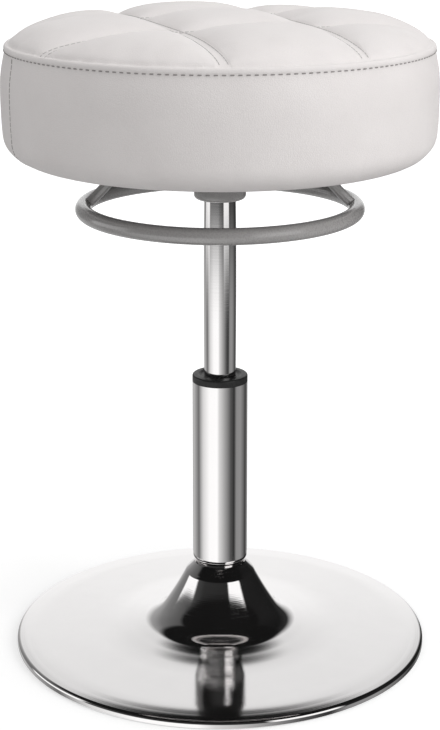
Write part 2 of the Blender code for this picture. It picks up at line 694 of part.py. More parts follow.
def make_plate(parent, steel, plastic):
    """The drawn pan with its bolting flange, bored for the gas tube, the cross shaft and the bolts."""
    pan_floor_radius = PAN_RADIUS - PAN_DRAFT
    corners = [
        (FLANGE_RADIUS, FLANGE_Z),
        (PAN_RADIUS, FLANGE_Z),
        (pan_floor_radius, PAN_FLOOR_Z),
        (tube_radius_at(PAN_FLOOR_Z) + GAP, PAN_FLOOR_Z),
    ]
    section = pressed_section(corners, [0.0, PAN_ROUND, PAN_ROUND, 0.0], PLATE_THICKNESS)
    pan = turned("seat_plate", section, SIDES_MEDIUM)

    bolt_hole = cutter(
        "bolt_hole", BOLT_HOLE_RADIUS, FLANGE_Z - PLATE_THICKNESS, FLANGE_TOP_Z + PLATE_THICKNESS, SIDES_FINE
    )
    places = on_circle(BOLTS, BOLT_CIRCLE_RADIUS)
    pan = boolean_mesh(pan, copies(bolt_hole, places, "bolt_holes"), "DIFFERENCE")

    bush_radius = SHAFT_RADIUS + RUN + SHAFT_BUSH_WALL
    shaft_hole = laid_along_x(cutter("shaft_hole", bush_radius + GAP, -FLANGE_RADIUS, FLANGE_RADIUS))
    shaft_hole.transform(Matrix.Translation((0.0, -SHAFT_AHEAD, SHAFT_Z)))
    pan = boolean_mesh(pan, shaft_hole, "DIFFERENCE")
    add_piece("seat_plate", pan, steel, parent)

    share = (SHAFT_Z - PAN_FLOOR_Z) / (FLANGE_Z - PAN_FLOOR_Z)
    wall_radius = pan_floor_radius + PAN_DRAFT * share - PLATE_THICKNESS / 2.0
    wall_x = math.sqrt(wall_radius**2 - SHAFT_AHEAD**2)
    half = SHAFT_BUSH_LENGTH / 2.0
    for name, side in (("shaft_bush_left", -1.0), ("shaft_bush_right", 1.0)):
        section = tube_section(SHAFT_RADIUS + RUN, bush_radius, -half, half)
        bush = laid_along_x(turned(name, section, SIDES_SMALL))
        add_piece(name, bush, plastic, parent, (side * wall_x, -SHAFT_AHEAD, SHAFT_Z))


def make_fasteners(parent, steel):
    hexagon = cutter("bolt_head", BOLT_HEAD_RADIUS, 0.0, BOLT_HEAD_HEIGHT, 6)
    shank_top = BOARD_TOP_Z - BOLT_END_INSET - BOLT_HEAD_Z
    shank = cutter("bolt_shank", BOLT_RADIUS, BOLT_HEAD_HEIGHT / 2.0, shank_top, SIDES_FINE)
    bolt = boolean_mesh(hexagon, shank, "UNION")
    washer = turned(
        "bolt_washer", tube_section(BOLT_HOLE_RADIUS, WASHER_RADIUS, 0.0, WASHER_THICKNESS), SIDES_FINE
    )
    barrel_low = BOARD_Z + TNUT_FOOT - BOARD_TOP_Z
    nut = turned(
        "t_nut",
        [
            (BOLT_HOLE_RADIUS, 0.0),
            (TNUT_FLANGE_RADIUS, 0.0),
            (TNUT_FLANGE_RADIUS, -TNUT_FLANGE),
            (TNUT_RADIUS, -TNUT_FLANGE),
            (TNUT_RADIUS, barrel_low),
            (BOLT_HOLE_RADIUS, barrel_low),
        ],
        SIDES_FINE,
    )
    for number, (x, y) in enumerate(on_circle(BOLTS, BOLT_CIRCLE_RADIUS), 1):
        add_piece(f"plate_bolt_{number}", bolt, steel, parent, (x, y, BOLT_HEAD_Z))
        add_piece(f"plate_washer_{number}", washer, steel, parent, (x, y, WASHER_Z))
        add_piece(f"t_nut_{number}", nut, steel, parent, (x, y, BOARD_TOP_Z))


def make_lever(parent, paint, steel):
    """The ring, its two arms, the cross shaft and the finger, placed from the shaft's axis."""
    ring_centre = Vector((0.0, SHAFT_AHEAD, RING_Z - SHAFT_Z))
    ring = turned("lever_ring", ring_section(RING_RADIUS, RING_TUBE_RADIUS, BAR_STEPS), SIDES_LARGE)
    add_piece("lever_ring", ring, paint, parent, ring_centre)

    shaft = laid_along_x(cutter("cross_shaft", SHAFT_RADIUS, -SHAFT_HALF, SHAFT_HALF))
    add_piece("cross_shaft", shaft, steel, parent)

    rise = math.radians(ARM_RISE_DEG)
    for name, side in (("ring_arm_left", -1.0), ("ring_arm_right", 1.0)):
        start = Vector((side * (SHAFT_HALF + GAP), 0.0, 0.0))
        bend = start + Vector((side * ARM_RADIUS, 0.0, 0.0))
        end = ring_centre + Vector((side * RING_RADIUS, 0.0, 0.0))
        leave = bend + Vector((side * ARM_LEAVE, 0.0, 0.0))
        arrive = end + Vector((-side * math.cos(rise), 0.0, math.sin(rise))) * ARM_ARRIVE
        path = [start, *interpolate_bezier(bend, leave, arrive, end, BAR_STEPS)]
        groove = turned(
            "ring_groove", ring_section(RING_RADIUS, RING_TUBE_RADIUS + GAP, SIDES_SMALL), SIDES_LARGE
        )
        groove.transform(Matrix.Translation(ring_centre))
        arm = boolean_mesh(bar_along(name, path, ARM_RADIUS), groove, "DIFFERENCE")
        add_piece(name, arm, paint, parent)

    add_piece("release_finger", finger_mesh(), steel, parent)


def bar_along(name, path, radius):
    """A round bar along a path, closed at both ends."""
    curve = bpy.data.curves.new(name, "CURVE")
    curve.dimensions = "3D"
    curve.bevel_depth = radius
    curve.bevel_resolution = 3
    curve.use_fill_caps = True
    spline = curve.splines.new("POLY")
    spline.points.add(len(path) - 1)
    for point, place in zip(spline.points, path):
        point.co = (*place, 1.0)
    guide = bpy.data.objects.new(name, curve)
    bpy.context.scene.collection.objects.link(guide)
    tube = evaluated_mesh(guide, name)
    bpy.data.objects.remove(guide, do_unlink=True)
    bm = bmesh.new()
    bm.from_mesh(tube)
    bmesh.ops.remove_doubles(bm, verts=bm.verts, dist=1e-6)
    return mesh_from(bm, name)


def finger_mesh():
    """A flat lever whose hub fits the shaft and whose round nose stands over the valve pin."""
    hub_radius = SHAFT_RADIUS + GAP + FINGER_HUB_WALL
    lean = math.acos((hub_radius - NOSE_RADIUS) / SHAFT_AHEAD)
    outline = []
    steps = BAR_STEPS
    for step in range(steps + 1):
        angle = lean + (2.0 * math.pi - 2.0 * lean) * step / steps
        outline.append((hub_radius * math.cos(angle), hub_radius * math.sin(angle)))
    for step in range(steps + 1):
        angle = -lean + 2.0 * lean * step / steps
        outline.append((SHAFT_AHEAD + NOSE_RADIUS * math.cos(angle), NOSE_RADIUS * math.sin(angle)))
    bm = bmesh.new()
    face = bm.faces.new([bm.verts.new((-FINGER_WIDTH / 2.0, y, z)) for y, z in outline])
    grown = bmesh.ops.extrude_face_region(bm, geom=[face])
    moved = [item for item in grown["geom"] if isinstance(item, bmesh.types.BMVert)]
    bmesh.ops.translate(bm, verts=moved, vec=(FINGER_WIDTH, 0.0, 0.0))
    blank = mesh_from(bm, "release_finger")
    bore = laid_along_x(cutter("finger_bore", SHAFT_RADIUS + GAP, -FINGER_WIDTH, FINGER_WIDTH))
    return boolean_mesh(blank, bore, "DIFFERENCE")


def make_board(parent, wood):
    disc = turned(
        "seat_board",
        [(0.0, BOARD_TOP_Z), (BOARD_RADIUS, BOARD_TOP_Z), (BOARD_RADIUS, BOARD_Z), (0.0, BOARD_Z)],
        SIDES_MEDIUM,
    )
    recess = TNUT_FLANGE_RADIUS + GAP
    barrel = TNUT_RADIUS + GAP
    clear = BOARD_THICKNESS
    tool = turned(
        "t_nut_recess",
        [
            (0.0, BOARD_TOP_Z + clear),
            (recess, BOARD_TOP_Z + clear),
            (recess, BOARD_TOP_Z - TNUT_FLANGE - GAP),
            (barrel, BOARD_TOP_Z - TNUT_FLANGE - GAP),
            (barrel, BOARD_Z - clear),
            (0.0, BOARD_Z - clear),
        ],
        SIDES_FINE,
    )
    tools = copies(tool, on_circle(BOLTS, BOLT_CIRCLE_RADIUS), "t_nut_recesses")
    add_piece("seat_board", boolean_mesh(disc, tools, "DIFFERENCE"), wood, parent)


def band_profile(offset, steps):
    """Side of the cushion from the top seam down to the edge under the board, moved inwards by offset."""
    profile = []
    widest_z = SEAT_BOTTOM_Z + BAND_WIDEST
    straight_z = SEAT_BOTTOM_Z + BAND_STRAIGHT
    upper = SEAM_INSET / (SEAM_Z - widest_z) ** 2
    lower = BAND_LOWER_INSET / (widest_z - straight_z) ** 2
    for step in range(steps + 1):
        z = SEAM_Z + (straight_z - SEAM_Z) * step / steps
        bulge = upper if z > widest_z else lower
        profile.append((SEAT_RADIUS - offset - bulge * (z - widest_z) ** 2, z))
    lean = math.atan(2.0 * lower * (widest_z - straight_z))
    corner_radius, corner_z = profile[-1]
    across = BAND_ROUND - offset
    centre_radius = corner_radius - across * math.cos(lean)
    rise = straight_z - SEAT_BOTTOM_Z - offset
    for step in range(1, steps + 1):
        angle = lean + (math.pi / 2.0 - lean) * step / steps
        share = (math.sin(angle) - math.sin(lean)) / (1.0 - math.sin(lean))
        profile.append((centre_radius + across * math.cos(angle), corner_z - rise * share))
    profile.append((BOARD_RADIUS - BAND_TAIL, profile[-1][1]))
    return profile


def make_band(parent, vinyl):
    outer = band_profile(0.0, BAND_STEPS)
    inner = band_profile(COVER_THICKNESS, BAND_STEPS)
    add_piece("side_band", turned("side_band", outer + inner[::-1], SIDES_LARGE), vinyl, parent)


def make_dust_cover(parent, cloth):
    high = BOARD_Z - GAP
    section = tube_section(
        FLANGE_RADIUS + GAP, BOARD_RADIUS - BAND_TAIL - GAP, high - DUST_THICKNESS, high
    )
    add_piece("dust_cover", turned("dust_cover", section, SIDES_MEDIUM), cloth, parent)


def swell(distance):
    """How full a pillow is at a distance from its channel, from 0 at the stitching to 1."""
    share = min(max(distance - CHANNEL_HALF, 0.0) / PILLOW_REACH, 1.0)
    return 1.0 - (1.0 - share) ** PILLOW_FULLNESS


def ring_radius(x, y):
    """Radius of the faceted ring through a point: the same along a facet as at its corners."""
    facet = 2.0 * math.pi / SIDES_LARGE
    from_middle = math.atan2(y, x) % facet - facet / 2.0
    return math.hypot(x, y) * math.cos(from_middle) / math.cos(facet / 2.0)


def quilt_height(x, y):
    """Height of the tufted top: pillows between the sewn channels, rolled down to the seam at the rim."""
    across = x * math.cos(TURN) + y * math.sin(TURN)
    along = y * math.cos(TURN) - x * math.sin(TURN)
    nearest_across = min(abs(across - place) for place in CHANNELS_ACROSS)
    nearest_along = min(abs(along - place) for place in CHANNELS_ALONG)
    height = CHANNEL_Z + PILLOW_RISE * swell(nearest_across) * swell(nearest_along)
    share = min(max(ring_radius(x, y) - (QUILT_RADIUS - ROLL_WIDTH), 0.0) / ROLL_WIDTH, 1.0)
    rim = SEAM_Z + RIM_FOLD
    return rim + (height - rim) * (1.0 - share**2) ** ROLL_POWER


def quilt_lines(places):
    """Where the quilt is divided along one direction: both edges of each channel and the pillows between."""
    steps = (CHANNEL_HALF, CHANNEL_HALF + PILLOW_REACH * 0.17, CHANNEL_HALF + PILLOW_REACH * 0.5)
    lines = [place + side * step for place in places for side in (-1.0, 1.0) for step in steps]
    lines.append(sum(places) / len(places))
    lines.extend((min(places) - PILLOW_REACH, max(places) + PILLOW_REACH))
    return lines


def quilt_sheet(rings):
    """A flat disc divided by rings and along the channels, as triangles."""
    bm = bmesh.new()
    inner = bmesh.ops.create_circle(bm, cap_ends=True, radius=rings[0], segments=SIDES_LARGE)["verts"]
    edge = list(inner)
    for ring in rings[1:]:
        outer = [bm.verts.new(vert.co * (ring / vert.co.length)) for vert in edge]
        for index in range(len(edge)):
            ahead = (index + 1) % len(edge)
            bm.faces.new((edge[index], edge[ahead], outer[ahead], outer[index]))
        edge = outer
    directions = (
        (Vector((math.cos(TURN), math.sin(TURN), 0.0)), CHANNELS_ACROSS),
        (Vector((-math.sin(TURN), math.cos(TURN), 0.0)), CHANNELS_ALONG),
    )
    limit = rings[0] * math.cos(math.pi / SIDES_LARGE)
    for normal, places in directions:
        for line in quilt_lines(places):
            at_channel = min(abs(line - place) for place in places) < PILLOW_REACH * 0.3
            faces = [
                face for face in bm.faces if at_channel or face.calc_center_median().length < limit
            ]
            edges = {edge for face in faces for edge in face.edges}
            verts = {vert for face in faces for vert in face.verts}
            bmesh.ops.bisect_plane(
                bm, geom=[*verts, *edges, *faces], dist=1e-6, plane_co=normal * line, plane_no=normal
            )
    bmesh.ops.triangulate(bm, faces=bm.faces)
    return bm


def drape(bm, lower):
    """Lifts a flat sheet to the quilt's height, less the distance to the cover's upper face."""
    for vert in bm.verts:
        vert.co.z = quilt_height(vert.co.x, vert.co.y) - lower


def rim_rings():
    """Radii of the quilt's rings, closer together where the edge rolls down. The last two are the rims."""
    shares = (0.55, 0.82)
    start = QUILT_RADIUS - ROLL_WIDTH
    return [start + ROLL_WIDTH * share for share in shares] + [FOAM_TOP_RADIUS - GAP, QUILT_RADIUS]


def make_quilt(parent, vinyl):
    bm = quilt_sheet(rim_rings())
    drape(bm, 0.0)
    grown = bmesh.ops.extrude_face_region(bm, geom=list(bm.faces), use_keep_orig=True)
    lowered = [item for item in grown["geom"] if isinstance(item, bmesh.types.BMVert)]
    bmesh.ops.translate(bm, verts=lowered, vec=(0.0, 0.0, -(QUILT_THICKNESS - GAP)))
    add_piece("cover_top", mesh_from(bm, "cover_top"), vinyl, parent)


def make_foam(parent, foam):
    """Foam block under the quilt, with a skirt that wraps the board's edge."""
    bm = quilt_sheet(rim_rings()[:-1])
    drape(bm, QUILT_THICKNESS)
    rim = [edge for edge in bm.edges if edge.is_boundary]
    inside = band_profile(COVER_THICKNESS + GAP, BAND_STEPS)
    skirt_z = BOARD_Z + FOAM_SKIRT
    board_side = BOARD_RADIUS + GAP
    walls = [point for point in inside if point[1] > skirt_z]
    walls.append((board_side, skirt_z))
    walls.append((board_side, BOARD_TOP_Z + GAP))
    rim_radius = rim_rings()[-2]
    for radius, z in walls:
        grown = bmesh.ops.extrude_edge_only(bm, edges=rim)
        scale = radius / rim_radius
        for item in grown["geom"]:
            if isinstance(item, bmesh.types.BMVert):
                item.co = (item.co.x * scale, item.co.y * scale, z)
        edges = [item for item in grown["geom"] if isinstance(item, bmesh.types.BMEdge)]
        rim = [edge for edge in edges if edge.is_boundary]
        rim_radius = radius
    bmesh.ops.holes_fill(bm, edges=rim)
    add_piece("seat_foam", mesh_from(bm, "seat_foam"), foam, parent)


def main():
    clear_scene()
    chrome = finish("chrome", (0.80, 0.80, 0.81), 0.06, 1.0)
    steel = finish("zinc_steel", (0.52, 0.53, 0.54), 0.38, 0.9)
    paint = finish("grey_paint", (0.37, 0.37, 0.37), 0.30, 0.2)
    plastic = finish("black_plastic", (0.02, 0.02, 0.02), 0.45, 0.0)
    nylon = finish("natural_nylon", (0.78, 0.76, 0.70), 0.50, 0.0)
    rubber = finish("black_rubber", (0.03, 0.03, 0.03), 0.80, 0.0)
    wood = finish("plywood", (0.60, 0.44, 0.28), 0.65, 0.0)
    foam = finish("seat_foam", (0.85, 0.80, 0.62), 0.95, 0.0)
    vinyl = finish("white_vinyl", (0.78, 0.77, 0.76), 0.48, 0.0)
    cloth = finish("black_nonwoven", (0.03, 0.03, 0.03), 0.95, 0.0)

    base = empty_on_axis("base", None, (0.0, 0.0, 0.0))
    cage_axis = empty_on_axis("cage_axis", base, (0.0, 0.0, 0.0))
    swivel_axis = empty_on_axis("swivel_axis", base, (0.0, 0.0, 0.0))
    lift_axis = empty_on_axis("lift_axis", swivel_axis, (0.0, 0.0, 0.0))
    lever_axis = empty_on_axis("lever_axis", lift_axis, (0.0, -SHAFT_AHEAD, SHAFT_Z))
    valve_axis = empty_on_axis("valve_axis", lift_axis, (0.0, 0.0, SHAFT_Z))

    make_base(base, chrome, steel, rubber)
    make_column(base, chrome, steel, plastic)
    make_bearing(base, cage_axis, swivel_axis, steel, nylon)
    make_rod(swivel_axis, chrome, steel, rubber)
    make_gas_lift(lift_axis, valve_axis, chrome, steel, nylon)
    make_hub(lift_axis, steel, paint)
    make_plate(lift_axis, steel, nylon)
    make_fasteners(lift_axis, steel)
    make_lever(lever_axis, paint, steel)
    make_board(lift_axis, wood)
    make_foam(lift_axis, foam)
    make_quilt(lift_axis, vinyl)
    make_band(lift_axis, vinyl)
    make_dust_cover(lift_axis, cloth)


main()
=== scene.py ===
"""Looks of the vanity stool: finishes, the sewn cushion, finer chrome and paint, light and camera."""

import json
import math

import bmesh
import bpy
import numpy as np
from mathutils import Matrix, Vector
from mathutils.bvhtree import BVHTree

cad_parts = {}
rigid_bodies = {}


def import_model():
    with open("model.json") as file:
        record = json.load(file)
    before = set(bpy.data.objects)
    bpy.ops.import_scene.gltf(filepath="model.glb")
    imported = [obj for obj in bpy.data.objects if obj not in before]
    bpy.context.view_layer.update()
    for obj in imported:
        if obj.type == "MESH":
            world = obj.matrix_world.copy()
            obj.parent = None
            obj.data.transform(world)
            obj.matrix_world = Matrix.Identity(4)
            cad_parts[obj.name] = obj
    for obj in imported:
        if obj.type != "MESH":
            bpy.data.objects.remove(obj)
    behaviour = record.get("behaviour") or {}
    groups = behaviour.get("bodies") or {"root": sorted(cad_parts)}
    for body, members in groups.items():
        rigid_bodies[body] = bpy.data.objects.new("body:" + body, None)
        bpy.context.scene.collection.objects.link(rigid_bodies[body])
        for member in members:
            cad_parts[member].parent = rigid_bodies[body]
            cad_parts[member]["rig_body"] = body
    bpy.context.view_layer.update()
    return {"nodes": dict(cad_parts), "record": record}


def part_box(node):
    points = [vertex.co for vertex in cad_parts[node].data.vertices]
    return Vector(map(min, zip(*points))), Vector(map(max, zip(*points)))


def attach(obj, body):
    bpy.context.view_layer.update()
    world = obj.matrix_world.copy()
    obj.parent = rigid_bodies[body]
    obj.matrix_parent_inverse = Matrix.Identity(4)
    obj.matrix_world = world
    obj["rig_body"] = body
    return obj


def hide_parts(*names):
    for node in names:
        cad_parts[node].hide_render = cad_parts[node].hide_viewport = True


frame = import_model()
NODES = frame["nodes"]

# Camera, fitted to the round edges in the photograph
CAMERA_PLACE = (0.0, -1.5191, 0.7236)
CAMERA_PITCH = 0.2943
FOCAL_PX = 1760.19
FRAME_PX = (440, 730)
SENSOR = 36.0

# Seat, from the frame and the CAD part's seam
BAND_LOW, BAND_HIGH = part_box("side_band")
SEAM_Z = BAND_HIGH.z
SEAT_BOTTOM_Z = BAND_LOW.z
SEAM_RADIUS = 0.1831

# Quilt: channels on the solid's lines; the cover's pillows are steeper and rise less than the solid's
TURN = math.radians(19.2)
ACROSS = (-0.0555, 0.062)
ALONG = (-0.0595, 0.0595)
CHANNEL_HALF = 0.0038
CHANNEL_RISE = 0.0208
PILLOW_REACH = 0.056
PILLOW_FULLNESS = 2.2
PILLOW_WALL = 0.45  # below 1, a pillow stands up steeper beside its sewing
PILLOW_HOLD = 0.6  # below 1, a pillow keeps more of its rise toward the rim
PILLOW_RISE = 0.0095
ROLL_WIDTH = 0.105
ROLL_POWER = 0.58

# Folded edge, as points out from the seam circle and above the fold, then above the stitches
EDGE_INSET = 0.0032
RIM_FOLD = 0.0062
RIM_CREASE = 0.0010
STITCH_DROP = 0.0054
QUILT_EDGE = SEAM_RADIUS - EDGE_INSET
FOLD_Z = SEAM_Z + RIM_FOLD
STITCH_Z = FOLD_Z - STITCH_DROP
FOLD_SECTION = ((-0.0022, -0.0003), (-0.0010, 0.0), (0.0001, -0.0005), (0.0008, -0.0016))
STITCHED_SECTION = ((0.0011, 0.0024), (0.0010, 0.0010), (0.0002, 0.0))
SIDE_DROP = 0.0014  # the solid's own side is followed from here below the stitches
TAIL_HEM = 0.0018

# Upright seam of the side band: a groove between two turned-in hems
BAND_SEAM = math.radians(-158.0)
GROOVE_DEPTH = 0.0006
GROOVE_WIDTH = 0.0008
HEM_RISE = 0.0004
HEM_PLACE = 0.0021
HEM_WIDTH = 0.0010
SEAM_OFFSETS = (-0.0032, -0.002, -0.001, 0.0, 0.001, 0.002, 0.0032)
SEAM_CLEAR = 0.0042
SEAM_TOP_DROP = 0.004
SEAM_END_RISE = 0.006

# Thread
STITCH_PITCH = 0.0062
STITCH_LENGTH = 0.0033
SEAM_PITCH = 0.0047
SEAM_SHARE = 0.85  # of its pitch that a stitch covers
CHANNEL_PITCH = 0.0048
CHANNEL_SHARE = 0.72
CHANNEL_LINE = 0.88  # of a channel's half width, where its stitches run
RIM_THREAD = 0.00055
CHANNEL_THREAD = 0.00042
THREAD_OUT = 0.35  # radii that a thread's middle stands off the cover
STITCH_SIDES = 6
TRACE_STEP = 0.0005
OUTSIDE = 0.3  # a radius well outside the seat

# Where the sewing and the board hold the cloth
TAIL_HELD = 0.004
SEAM_HELD = 0.003
SEWN_BELOW = 0.001
HAIR = 0.0001  # keeps points on a limit inside it

# Mesh and simulation
RIM_SIDES = 240
RIM_STEPS = 10
RIM_WIDTH = 0.036
GRID = 0.0052
BAND_STEP = 0.0045
CLOSE_LINES = (0.0012, CHANNEL_HALF, 0.0047, 0.0062, 0.0090, 0.0130)
CLOSE_REACH = 0.0135  # lines this near a channel run on to the rim
INSIDE_SHARE = 0.9998  # of the inner radius, past which a face belongs to the rim
CUT_SNAP = 1e-5
MERGE = 0.0007
SIM_FRAMES = 20
SIM_PRESSURE = 4.0
SIM_SHRINK = -0.012
SIM_CAP = 0.004
SIDE_CAP = 0.0012
EVEN_STEPS = 6
START_FULL = 0.82

# Turned pieces
TURNED_SIDES = 192
BASE_SIDES = 256
BASE_STEP = 0.0008
TURNINGS = (  # piece, CAD node, finish and step along the section
    ("chrome_column", "column_tube", "chrome", 0.0006),
    ("chrome_gas_tube", "gas_cylinder", "chrome", 0.0012),
    ("black_bush", "guide_bush", "black_plastic", 0.0004),
    ("grey_hub", "hub_cap", "grey_paint", 0.0008),
    ("grey_ring", "lever_ring", "grey_paint", 0.0006),
)
DIGITS = 5
ON_MERIDIAN = 2e-5
SHARP = math.radians(42)
CREASE = math.radians(38)
ROUNDER = 1.4  # how much more a round's corners turn than the corner where a line runs into it
STRAIGHT = 1e-3
MOST_PARTS = 12
FEW_PARTS = 4
BELL_HOLLOW = 0.0005
HOLLOW_RUN = 0.02
HOLLOW_SLOPES = (50.0, 70.0)
HOLLOW_POINTS = 9

# What polished metal sees round the stool: level, by degrees to the right of the camera.
# Below the horizon: a wide softbox on the left of the camera, a dark flag on the right
LOW_STUDIO = (
    (-180, 0.45), (-140, 0.52), (-100, 0.16), (-75, 0.75), (-45, 1.10), (-12, 1.12), (-3, 0.75),
    (20, 0.40), (45, 0.10), (62, 0.03), (74, 0.28), (95, 0.30), (132, 0.045), (160, 0.30), (180, 0.45),
)
# Above it: a white sweep behind the stool and a dark room in front
HIGH_STUDIO = (
    (-180, 1.02), (-166, 0.98), (-156, 0.40), (-138, 0.22), (-120, 0.16), (-100, 0.12), (-75, 0.07),
    (-50, 0.035), (20, 0.03), (70, 0.016), (138, 0.012), (154, 0.03), (166, 0.98), (180, 1.02),
)
# The room's windows, which end below its dark ceiling
WINDOWS = (
    (-180, 0.0), (-120, 0.0), (-116, 1.0), (-80, 1.0), (-74, 0.0),
    (24, 0.0), (29, 1.0), (64, 1.0), (69, 0.0),
)
WINDOW_LEVEL = 1.1
CEILING_LEVEL = 0.007
# Where these begin and end, by the parts of a ray's direction
HORIZON = (-0.28, -0.14)
SWEEP_FADE = (0.25, 0.60)
SWEEP_LOSS = 0.22
RIGHT_SIDE = (0.0, 0.1)
LEFT_WINDOW_TOP = (0.325, 0.345)
LEFT_WINDOW_LEAN = 0.36
CEILING_EDGE = (0.60, 0.70)
FRONT_CEILING_EDGE = (0.395, 0.42)
FRONT_CEILING_LEAN = 0.2
FRONT_SIDE = (-0.10, 0.05)

# Soft light, floor and lamps: name, place, aim, size and watts
AMBIENT = 0.64
FLOOR_HALF = 8.0
FLOOR_DROP = 0.0003
FLOOR_SHADES = (0.64, 0.66)
FLOOR_GLOW_NEAR = 0.48
FLOOR_GLOW_FAR = 0.85
GLOW_REACH = (0.15, 1.1)
LAMPS = (
    ("key", (1.75, -1.0, 1.25), (0.0, 0.0, 0.45), 1.2, 20.0),
    ("top", (0.1, 0.0, 2.4), (0.0, 0.0, 0.5), 1.6, 10.0),
)


# Node trees


class Tree:
    """Short-hand for a node tree."""

    def __init__(self, tree):
        self.tree = tree

    def node(self, kind, inputs=None, **settings):
        made = self.tree.nodes.new("ShaderNode" + kind)
        for key, value in settings.items():
            setattr(made, key, value)
        for key, value in (inputs or {}).items():
            self.feed(made.inputs[key], value)
        return made

    def feed(self, socket, value):
        if isinstance(value, bpy.types.NodeSocket):
            self.tree.links.new(value, socket)
        else:
            socket.default_value = value

    def place(self):
        return self.node("TexCoord").outputs["Object"]

    def noise(self, vector, scale, detail=2.0, rough=0.5):
        made = self.node("TexNoise", {"Vector": vector, "Scale": scale, "Detail": detail, "Roughness": rough})
        return made.outputs["Fac"]

    def math(self, operation, *values):
        made = self.node("Math", dict(enumerate(values)), operation=operation)
        return made.outputs[0]

    def span(self, value, low, high, to_low, to_high, smooth=False):
        kind = "SMOOTHSTEP" if smooth else "LINEAR"
        inputs = {"Value": value, "From Min": low, "From Max": high, "To Min": to_low, "To Max": to_high}
        return self.node("MapRange", inputs, interpolation_type=kind).outputs["Result"]

    def ramp(self, value, stops):
        made = self.node("ValToRGB", {"Fac": value})
        line = made.color_ramp.elements
        while len(line) < len(stops):
            line.new(1.0)
        for element, (position, colour) in zip(line, stops):
            element.position = position
            element.color = (*grey(colour), 1.0)
        return made.outputs["Color"]

    def mix(self, share, first, second):
        made = self.node("Mix", data_type="RGBA")
        self.feed(made.inputs[0], share)
        for socket, value in ((made.inputs[6], first), (made.inputs[7], second)):
            self.feed(socket, value if isinstance(value, bpy.types.NodeSocket) else (*grey(value), 1.0))
        return made.outputs[2]

    def bump(self, height, strength, distance, normal=None):
        inputs = {"Height": height, "Strength": strength, "Distance": distance}
        if normal is not None:
            inputs["Normal"] = normal
        return self.node("Bump", inputs).outputs["Normal"]


def grey(value):
    return tuple(value) if isinstance(value, (tuple, list)) else (value, value, value)


def new_finish(name, **constants):
    """A Principled material with its constant values set on the shader's own sockets."""
    material = bpy.data.materials.new(name)
    material.use_nodes = True
    shader = material.node_tree.nodes["Principled BSDF"]
    for key, value in constants.items():
        shader.inputs[key.replace("_", " ")].default_value = value
    return material, Tree(material.node_tree), shader.inputs


# Finishes


def white_vinyl():
    """Soft white leathercloth with a fine pebble grain, whose valleys carry painted shade."""
    material, tree, shader = new_finish("white_vinyl", Specular_IOR_Level=0.42)
    place = tree.place()
    warped = tree.node("VectorMath", {0: place}, operation="ADD")
    drift = tree.node("TexNoise", {"Vector": place, "Scale": 260.0}).outputs["Color"]
    tree.feed(warped.inputs[1], tree.node("VectorMath", {0: drift, 3: 0.0022}, operation="SCALE").outputs[0])
    cells = tree.node(
        "TexVoronoi", {"Vector": warped.outputs[0], "Scale": 640.0}, feature="DISTANCE_TO_EDGE"
    ).outputs["Distance"]
    pebble = tree.span(cells, 0.0, 0.22, 0.0, 1.0, smooth=True)
    broad = tree.noise(place, 22.0, 3.0)
    fine = tree.noise(place, 1900.0, 2.0)
    shade = tree.mix(tree.span(broad, 0.3, 0.7, 0.0, 1.0), (0.780, 0.744, 0.735), (0.815, 0.780, 0.771))
    # Painted shade: the grain's valleys are mixed toward a darker colour
    painted_valley_shade = tree.span(pebble, 0.0, 1.0, 0.10, 0.0)
    tree.feed(shader["Base Color"], tree.mix(painted_valley_shade, shade, (0.62, 0.595, 0.585)))
    tree.feed(shader["Roughness"], tree.span(fine, 0.25, 0.75, 0.40, 0.54))
    height = tree.math("ADD", pebble, tree.math("MULTIPLY", fine, 0.35))
    tree.feed(shader["Normal"], tree.bump(height, 0.22, 0.0004))
    return material


def chrome(name, spun):
    """Polished chrome; a spun piece keeps fine rings from the lathe."""
    material, tree, shader = new_finish(name, Metallic=1.0)
    place = tree.place()
    parts = tree.node("SeparateXYZ", {0: place}).outputs
    flat = tree.node("CombineXYZ", {0: parts[0], 1: parts[1]}).outputs[0]
    radius = tree.node("VectorMath", {0: flat}, operation="LENGTH").outputs["Value"]
    rings = tree.node(
        "TexNoise", {"W": radius if spun else parts[2], "Scale": 1500.0 if spun else 500.0, "Detail": 3.0},
        noise_dimensions="1D",
    ).outputs["Fac"]
    haze = tree.noise(place, 40.0, 4.0)
    worn = tree.math("ADD", tree.math("MULTIPLY", rings, 0.6), tree.math("MULTIPLY", haze, 0.4))
    low, high = (0.03, 0.09) if spun else (0.03, 0.07)
    tree.feed(shader["Roughness"], tree.span(worn, 0.3, 0.7, low, high))
    tree.feed(shader["Base Color"], tree.mix(haze, (0.875, 0.860, 0.857), (0.915, 0.900, 0.897)))
    tree.feed(shader["Normal"], tree.bump(rings, 0.05 if spun else 0.015, 0.0003))
    return material


def zinc_steel():
    """Zinc-plated steel with a black passivate."""
    material, tree, shader = new_finish("zinc_steel", Metallic=0.9)
    place = tree.place()
    spangle = tree.noise(place, 320.0, 4.0, 0.6)
    tree.feed(shader["Base Color"], tree.mix(spangle, (0.085, 0.085, 0.09), (0.14, 0.14, 0.14)))
    tree.feed(shader["Roughness"], tree.span(spangle, 0.3, 0.7, 0.30, 0.48))
    tree.feed(shader["Normal"], tree.bump(spangle, 0.08, 0.0003))
    return material


def grey_paint():
    """Smooth grey enamel with a very slight orange peel."""
    material, tree, shader = new_finish("grey_paint", Coat_Weight=1.0, Coat_Roughness=0.07)
    place = tree.place()
    peel = tree.noise(place, 700.0, 2.0)
    shade = tree.noise(place, 12.0, 2.0)
    tree.feed(shader["Base Color"], tree.mix(shade, (0.345, 0.334, 0.330), (0.365, 0.354, 0.350)))
    tree.feed(shader["Roughness"], tree.span(peel, 0.3, 0.7, 0.24, 0.32))
    tree.feed(shader["Normal"], tree.bump(peel, 0.01, 0.0001))
    return material


